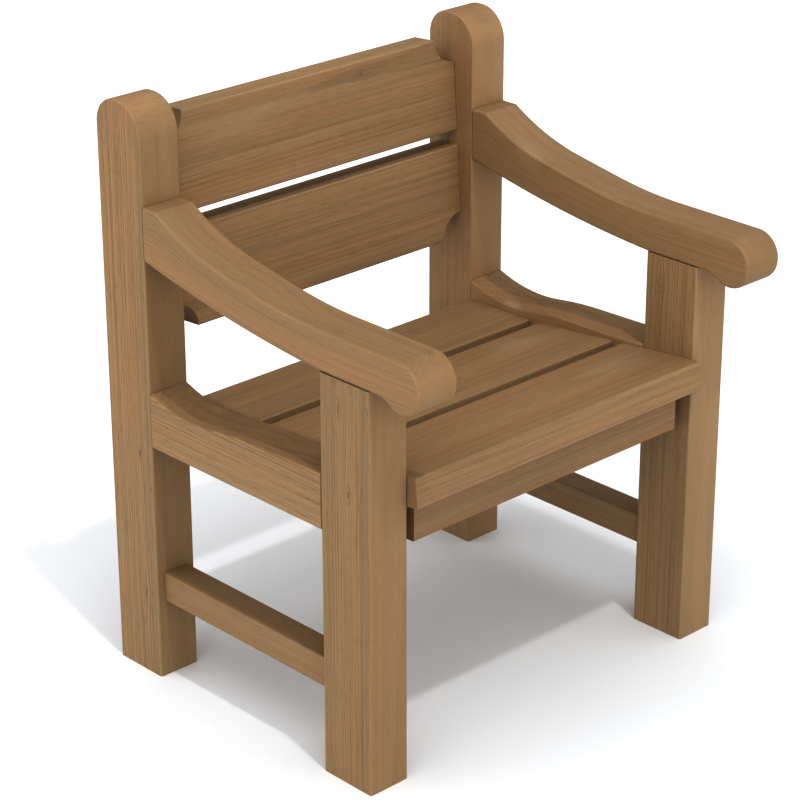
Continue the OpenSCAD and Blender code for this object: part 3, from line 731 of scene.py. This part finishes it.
def planed_timber_tree():
    """A board or rail along X: an eased section swept along a line, with tenons and coves at its ends.

    Thickness lies along Y and width along Z. The coves are at the top for side 1 and the bottom for -1."""
    m, given = tree_with("planed_timber", [
        ("Length", "Float", 0.58), ("Thickness", "Float", 0.045), ("Width", "Float", 0.15),
        ("Edge Radius", "Float", 0.003), ("Tenon Length", "Float", 0.02), ("Tenon Thickness", "Float", 0.016),
        ("Tenon Width", "Float", 0.09), ("Tenon Shift", "Float", 0.0), ("Cove Radius", "Float", 0.041),
        ("Cove Side", "Float", 1.0), ("Tenons", "Bool", True), ("Coves", "Bool", False),
        ("Material", "Material", None),
    ])
    end = given["Length"] * 0.5
    path = m.node("GeometryNodeCurvePrimitiveLine", None, {
        "Start": m.vector(-end, 0.0, 0.0), "End": m.vector(end, 0.0, 0.0)})
    section = m.node("GeometryNodeCurvePrimitiveQuadrilateral", None, {
        "Width": given["Thickness"], "Height": given["Width"]})
    section = m.node("GeometryNodeFilletCurve", {"mode": "POLY"}, {
        "Curve": section, "Count": EASE_STEPS, "Radius": given["Edge Radius"]})
    body = m.node("GeometryNodeCurveToMesh", None, {
        "Curve": path, "Profile Curve": section, "Fill Caps": True})

    def at_both_ends(shape, height):
        return joined(m, *(moved(m, shape, x, height) for x in (end, -end)))

    round_cut = m.node("GeometryNodeMeshCylinder", None, {
        "Vertices": COVE_SIDES, "Radius": given["Cove Radius"], "Depth": given["Thickness"] * 2.0})
    round_cut = m.node("GeometryNodeTransform", None, {
        "Geometry": round_cut, "Rotation": (math.pi / 2, 0.0, 0.0)})
    coved = m.node("GeometryNodeMeshBoolean", {"operation": "DIFFERENCE", "solver": "EXACT"}, {
        "Mesh 1": body, "Mesh 2": at_both_ends(round_cut, given["Cove Side"] * given["Width"] * 0.5)})
    body = m.node("GeometryNodeSwitch", {"input_type": "GEOMETRY"}, [given["Coves"], body, coved])

    tenon = m.node("GeometryNodeMeshCube", None, {"Size": m.vector(
        given["Tenon Length"] * 2.0, given["Tenon Thickness"], given["Tenon Width"])})
    tenons = m.node("GeometryNodeSwitch", {"input_type": "GEOMETRY"}, {
        "Switch": given["Tenons"], "True": at_both_ends(tenon, given["Tenon Shift"])})
    return finish_tree(m, joined(m, body, tenons), given["Material"])


def wood_screw_tree():
    """Threaded screws with a hexagon socket, one at each point, along the point's way attribute."""
    m, given = tree_with("wood_screws", [
        ("Points", "Geometry", None), ("Shank", "Float", 0.005), ("Length", "Float", 0.06),
        ("Head", "Float", 0.01), ("Head Thickness", "Float", 0.003), ("Socket", "Float", 0.004),
        ("Pitch", "Float", 0.0028), ("Sides", "Int", 20), ("Material", "Material", None),
    ])

    def cone(low, high, depth, foot, sides=given["Sides"]):
        """A cone or drum with its radius at each end, its depth and the height of its foot."""
        made = m.node("GeometryNodeMeshCone", None, {
            "Vertices": sides, "Radius Top": high, "Radius Bottom": low, "Depth": depth})
        return moved(m, made, 0.0, foot)

    shank = given["Shank"] * 0.5
    core = shank * CORE_SHARE
    rim = given["Head"] * 0.5
    rounding = given["Head Thickness"] * ROUND_SHARE
    flat = given["Head Thickness"] - rounding
    smooth_end = given["Length"] * SMOOTH_SHARE
    point = given["Shank"]
    thread_end = given["Length"] - point
    head = m.node("GeometryNodeMeshBoolean", {"operation": "UNION", "solver": "EXACT"}, {"Mesh 2": [
        cone(rim, rim, flat, -flat), cone(rim * CROWN_SHARE, rim, rounding, -given["Head Thickness"])]})
    socket = cone(given["Socket"] * 0.5, given["Socket"] * 0.5, given["Head Thickness"] * 1.2,
                  given["Head Thickness"] * -1.6, 6)
    head = m.node("GeometryNodeMeshBoolean", {"operation": "DIFFERENCE", "solver": "EXACT"}, {
        "Mesh 1": head, "Mesh 2": socket})
    threaded = thread_end - smooth_end
    stem = joined(m, cone(shank, shank, smooth_end, 0.0), cone(core, core, threaded, smooth_end),
                  cone(core, core * TIP_SHARE, point, thread_end))
    winding = m.node("GeometryNodeCurveSpiral", None, {
        "Resolution": THREAD_STEPS, "Rotations": threaded / given["Pitch"],
        "Start Radius": core, "End Radius": core, "Height": threaded})
    winding = moved(m, winding, 0.0, smooth_end)
    ridge = m.node("GeometryNodeCurvePrimitiveCircle", None, {"Resolution": 4, "Radius": shank - core})
    thread = m.node("GeometryNodeCurveToMesh", None, {
        "Curve": winding, "Profile Curve": ridge, "Fill Caps": True})
    screw = joined(m, head, stem, thread)
    way = m.node("GeometryNodeInputNamedAttribute", {"data_type": "FLOAT_VECTOR"}, {"Name": "way"})
    turn = m.node("FunctionNodeAlignRotationToVector", {"axis": "Z"}, {"Vector": way})
    placed = m.node("GeometryNodeInstanceOnPoints", None, {
        "Points": given["Points"], "Instance": screw, "Rotation": turn})
    return finish_tree(m, placed, given["Material"])


def tree_named(name, build):
    return bpy.data.node_groups.get(name) or build()


def add_planed_timber(node, slot, turn, length, thickness, width, **inputs):
    """Adds a swept timber at the middle of its CAD node, turned from its own axes by turn."""
    sizes = bpy.context.scene.timber_sizes
    low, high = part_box(node)
    tilt = turn.to_euler().x
    material = Timber(node, -tilt).dressed()
    mesh = grown(tree_named("planed_timber", planed_timber_tree), Length=length, Thickness=thickness,
                 Width=width, Edge_Radius=sizes.edge_radius, Tenon_Thickness=sizes.tenon, Material=material,
                 **inputs)
    mesh = eased(mesh, sizes.arris)
    mesh.transform(Matrix.Translation((low + high) / 2) @ turn)
    add_piece(node + "_timber", mesh, material, slot, node)


def inner_x():
    """Distance from the chair's middle to the inner faces of legs and posts."""
    return -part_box("front_leg_left")[1].x


def true_width(reach, tilt):
    """Width of a tilted board with eased edges, from how far its box reaches along the board's width."""
    sizes = bpy.context.scene.timber_sizes
    ease = 2 * sizes.edge_radius
    return (reach - ease - (sizes.board - ease) * math.sin(tilt)) / math.cos(tilt) + ease


# Operators

class CHAIR_OT_legs(Operator):
    """Adds the two front legs, with their tenons and mortises"""
    bl_idname = "chair.legs"
    bl_label = "Front Legs"

    def execute(self, context):
        add_shaped_pair("front_leg", "upright_timber")
        return {"FINISHED"}


class CHAIR_OT_posts(Operator):
    """Adds the two rear posts with their rounded heads"""
    bl_idname = "chair.posts"
    bl_label = "Rear Posts"

    def execute(self, context):
        add_shaped_pair("rear_post", "upright_timber")
        return {"FINISHED"}


class CHAIR_OT_arms(Operator):
    """Adds the two swept arms with their scroll noses"""
    bl_idname = "chair.arms"
    bl_label = "Arms"

    def execute(self, context):
        add_shaped_pair("arm", "arm_timber")
        return {"FINISHED"}


class CHAIR_OT_side_rails(Operator):
    """Adds the two dished side rails and the stretchers below them"""
    bl_idname = "chair.side_rails"
    bl_label = "Side Rails and Stretchers"

    def execute(self, context):
        sizes = context.scene.timber_sizes
        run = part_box("rear_post_left")[0].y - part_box("front_leg_left")[1].y
        add_shaped_pair("side_rail", "rail_timber")
        for node in ("side_stretcher_left", "side_stretcher_right"):
            low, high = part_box(node)
            height = high.z - low.z
            add_planed_timber(
                node, "rail_timber", Matrix.Rotation(math.pi / 2, 4, "Z"), run, high.x - low.x, height,
                Tenon_Length=(high.y - low.y - run) / 2, Tenon_Width=height - 2 * sizes.shoulder)
        return {"FINISHED"}


class CHAIR_OT_back_boards(Operator):
    """Adds the two raked back boards with a cove in each outer corner"""
    bl_idname = "chair.back_boards"
    bl_label = "Back Boards"

    def execute(self, context):
        sizes = context.scene.timber_sizes
        for node, side in (("back_board_upper", 1.0), ("back_board_lower", -1.0)):
            low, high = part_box(node)
            width = true_width(high.z - low.z, sizes.back_rake)
            turn = Matrix.Rotation(-sizes.back_rake, 4, "X")
            add_planed_timber(
                node, "board_timber", turn, 2 * inner_x(), sizes.board, width,
                Tenon_Length=high.x - inner_x(), Tenon_Width=width - sizes.cove - 2 * sizes.shoulder,
                Tenon_Shift=-side * sizes.cove / 2, Cove_Radius=sizes.cove, Cove_Side=side, Coves=True)
        return {"FINISHED"}


class CHAIR_OT_seat_boards(Operator):
    """Adds the three boards of the dished seat"""
    bl_idname = "chair.seat_boards"
    bl_label = "Seat Boards"

    def execute(self, context):
        sizes = context.scene.timber_sizes
        tilts = {"seat_board_front": sizes.seat_tilt, "seat_board_middle": sizes.seat_tilt,
                 "seat_board_rear": sizes.rear_tilt}
        for node, tilt in tilts.items():
            low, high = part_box(node)
            width = true_width(high.y - low.y, tilt)
            turn = Matrix.Rotation(-tilt - math.pi / 2, 4, "X")
            add_planed_timber(node, "board_timber", turn, high.x - low.x, sizes.board, width, Tenons=False)
        return {"FINISHED"}


class CHAIR_OT_seat_support(Operator):
    """Adds the apron, the rear rail and the two bearers under the seat"""
    bl_idname = "chair.seat_support"
    bl_label = "Under the Seat"

    def execute(self, context):
        sizes = context.scene.timber_sizes
        add_shaped_timber("front_apron", "rail_timber")
        add_shaped_pair("seat_bearer", "bearer_timber")
        low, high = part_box("rear_rail")
        add_planed_timber(
            "rear_rail", "rail_timber", Matrix.Identity(4), 2 * inner_x(), high.y - low.y, high.z - low.z,
            Tenon_Length=high.x - inner_x(), Tenon_Width=high.z - low.z - 2 * sizes.shoulder)
        return {"FINISHED"}


class CHAIR_OT_screws(Operator):
    """Adds the threaded screws in place of the plain ones of the CAD model"""
    bl_idname = "chair.screws"
    bl_label = "Screws"

    def execute(self, context):
        sizes = context.scene.screw_sizes
        material = plating_finish()
        tree = tree_named("wood_screws", wood_screw_tree)
        for node in ("frame_screws", "seat_board_screws", "apron_screws"):
            points, length, head = screw_places(node, sizes.head)
            mesh = grown(tree, points, Shank=head - sizes.head_over, Length=length, Head=head,
                         Head_Thickness=sizes.head, Socket=sizes.socket, Pitch=sizes.pitch, Sides=sizes.sides,
                         Material=material)
            mesh.shade_smooth()
            mesh.set_sharp_from_angle(angle=SCREW_TURN)
            add_piece(node + "_plated", mesh, material, "screw_steel", node)
        return {"FINISHED"}


def screw_places(node, head_thickness):
    """Points under the heads of a node's screws, with their way, and the screws' length and head width."""
    work = welded(node)
    unseen = set(work.verts)
    places = []
    while unseen:
        island = [unseen.pop()]
        for vertex in island:
            for edge in vertex.link_edges:
                other = edge.other_vert(vertex)
                if other in unseen:
                    unseen.remove(other)
                    island.append(other)
        corners = [vertex.co for vertex in island]
        low = Vector([min(co[i] for co in corners) for i in range(3)])
        high = Vector([max(co[i] for co in corners) for i in range(3)])
        size = high - low
        axis = max(range(3), key=lambda i: size[i])
        width = min(size)
        middle = (low + high) / 2
        radius = {end: max((co - middle).length for co in corners if abs(co[axis] - end) < WELD)
                  for end in (low[axis], high[axis])}
        points_up = radius[low[axis]] > radius[high[axis]]
        way = Vector([0.0, 0.0, 0.0])
        way[axis] = 1.0 if points_up else -1.0
        under_head = middle.copy()
        under_head[axis] = low[axis] if points_up else high[axis]
        places.append((under_head + way * head_thickness, way, size[axis] - head_thickness, width))
    work.free()
    points = bpy.data.meshes.new("work")
    points.from_pydata([place[0] for place in places], [], [])
    ways = points.attributes.new("way", "FLOAT_VECTOR", "POINT")
    for item, place in zip(ways.data, places):
        item.vector = place[1]
    return points, places[0][2], places[0][3]


class CHAIR_OT_studio(Operator):
    """Adds the floor, the white surround, the key light and the camera"""
    bl_idname = "chair.studio"
    bl_label = "Studio"

    def execute(self, context):
        setup = context.scene.studio_setup
        scene = context.scene
        scene.view_settings.view_transform = "Standard"
        scene.view_settings.gamma = 1 / setup.contrast
        scene.world = surround(setup)
        add_floor(setup)
        add_key_light(setup)
        scene.camera = add_camera(setup)
        return {"FINISHED"}


def floor_finish(setup):
    """Pale matt floor with painted shade under the chair, and a faint mottle."""
    f = Finish("studio_floor")
    mottle = f.noise(f.place, (9, 9, 9), 1.0)
    away = f.vector_math("LENGTH", f.vector_math("SUBTRACT", f.place, FLOOR_SHADE_MIDDLE), output="Value")
    # Painted shade: the floor's colour darkens towards the middle under the chair
    tone = f.ramp(away, FLOOR_SHADE_INNER, FLOOR_SHADE_OUTER, False) + (mottle - EVEN) * 0.06
    colour = f.blend(tone, tuple(setup.worn_floor), tuple(setup.floor))
    return f.surface(colour, 0.9 + mottle * 0.05, mottle, 0.00002, {"Specular IOR Level": 0.1})


def add_floor(setup):
    mesh = bpy.data.meshes.new("studio_floor")
    corners = [(x * FLOOR_REACH, y * FLOOR_REACH, 0) for x, y in ((-1, -1), (1, -1), (1, 1), (-1, 1))]
    mesh.from_pydata(corners, [], [(0, 1, 2, 3)])
    mesh.materials.append(floor_finish(setup))
    new_object("studio_floor", mesh)


def surround(setup):
    """White world that glows from overhead, from the chair's left and from in front of it."""
    world = bpy.data.worlds.new("studio_surround")
    world.use_nodes = True
    world.node_tree.nodes.clear()
    sky = Maker(world.node_tree)
    direction = sky.node("ShaderNodeTexCoord", output="Generated")
    right, back, up = sky.split(direction)
    glows = ((up, setup.zenith), (-right, setup.left_glow), (-back, setup.front_glow))
    strength = sum(way.math("MAXIMUM", 0.0) * glow for way, glow in glows)
    glow = sky.node("ShaderNodeBackground", None, {"Color": (1.0, 1.0, 1.0, 1.0), "Strength": strength})
    sky.node("ShaderNodeOutputWorld", None, {"Surface": glow})
    return world


def add_key_light(setup):
    light = bpy.data.lights.new("studio_key", "POINT")
    light.energy = setup.key_power
    light.shadow_soft_size = setup.key_radius
    new_object("studio_key", light).location = setup.key_place


def add_camera(setup):
    lens = bpy.data.cameras.new("studio_camera")
    lens.sensor_width = SENSOR_WIDTH
    lens.lens = setup.lens
    lens.clip_end = VIEW_DEPTH
    camera = new_object("studio_camera", lens)
    camera.matrix_world = camera_place(setup)
    return camera


def camera_place(setup):
    """Matrix of a camera that looks along its azimuth and elevation."""
    back = Vector((math.sin(setup.azimuth) * math.cos(setup.elevation),
                   -math.cos(setup.azimuth) * math.cos(setup.elevation), math.sin(setup.elevation)))
    level = Vector((math.cos(setup.azimuth), math.sin(setup.azimuth), 0.0))
    above = back.cross(level)
    axes = Matrix((level, above, back)).transposed().to_4x4()
    return Matrix.Translation(setup.eye) @ axes @ Matrix.Rotation(setup.roll, 4, "Z")


class CHAIR_PT_panel(Panel):
    """Lists the sizes, the looks and the steps that build the chair"""
    bl_idname = "CHAIR_PT_panel"
    bl_label = "Garden Armchair"
    bl_space_type = "VIEW_3D"
    bl_region_type = "UI"
    bl_category = "Armchair"

    def draw(self, context):
        for name, group in SETTINGS.items():
            box = self.layout.box()
            for key in group.__annotations__:
                box.prop(getattr(context.scene, name), key)
        for step in STEPS:
            self.layout.operator(step.bl_idname)


SETTINGS = {
    "timber_look": TimberLook,
    "timber_sizes": TimberSizes,
    "screw_sizes": ScrewSizes,
    "studio_setup": StudioSetup,
}
STEPS = (CHAIR_OT_legs, CHAIR_OT_posts, CHAIR_OT_arms, CHAIR_OT_side_rails, CHAIR_OT_back_boards,
         CHAIR_OT_seat_boards, CHAIR_OT_seat_support, CHAIR_OT_screws, CHAIR_OT_studio)
CLASSES = (*SETTINGS.values(), *STEPS, CHAIR_PT_panel)


def register():
    for kind in CLASSES:
        bpy.utils.register_class(kind)
    for name, group in SETTINGS.items():
        setattr(bpy.types.Scene, name, PointerProperty(type=group))


def unregister():
    for name in SETTINGS:
        delattr(bpy.types.Scene, name)
    for kind in reversed(CLASSES):
        bpy.utils.unregister_class(kind)


def main():
    register()
    for step in STEPS:
        getattr(bpy.ops.chair, step.bl_idname.split(".")[1])()


if __name__ == "__main__":
    main()
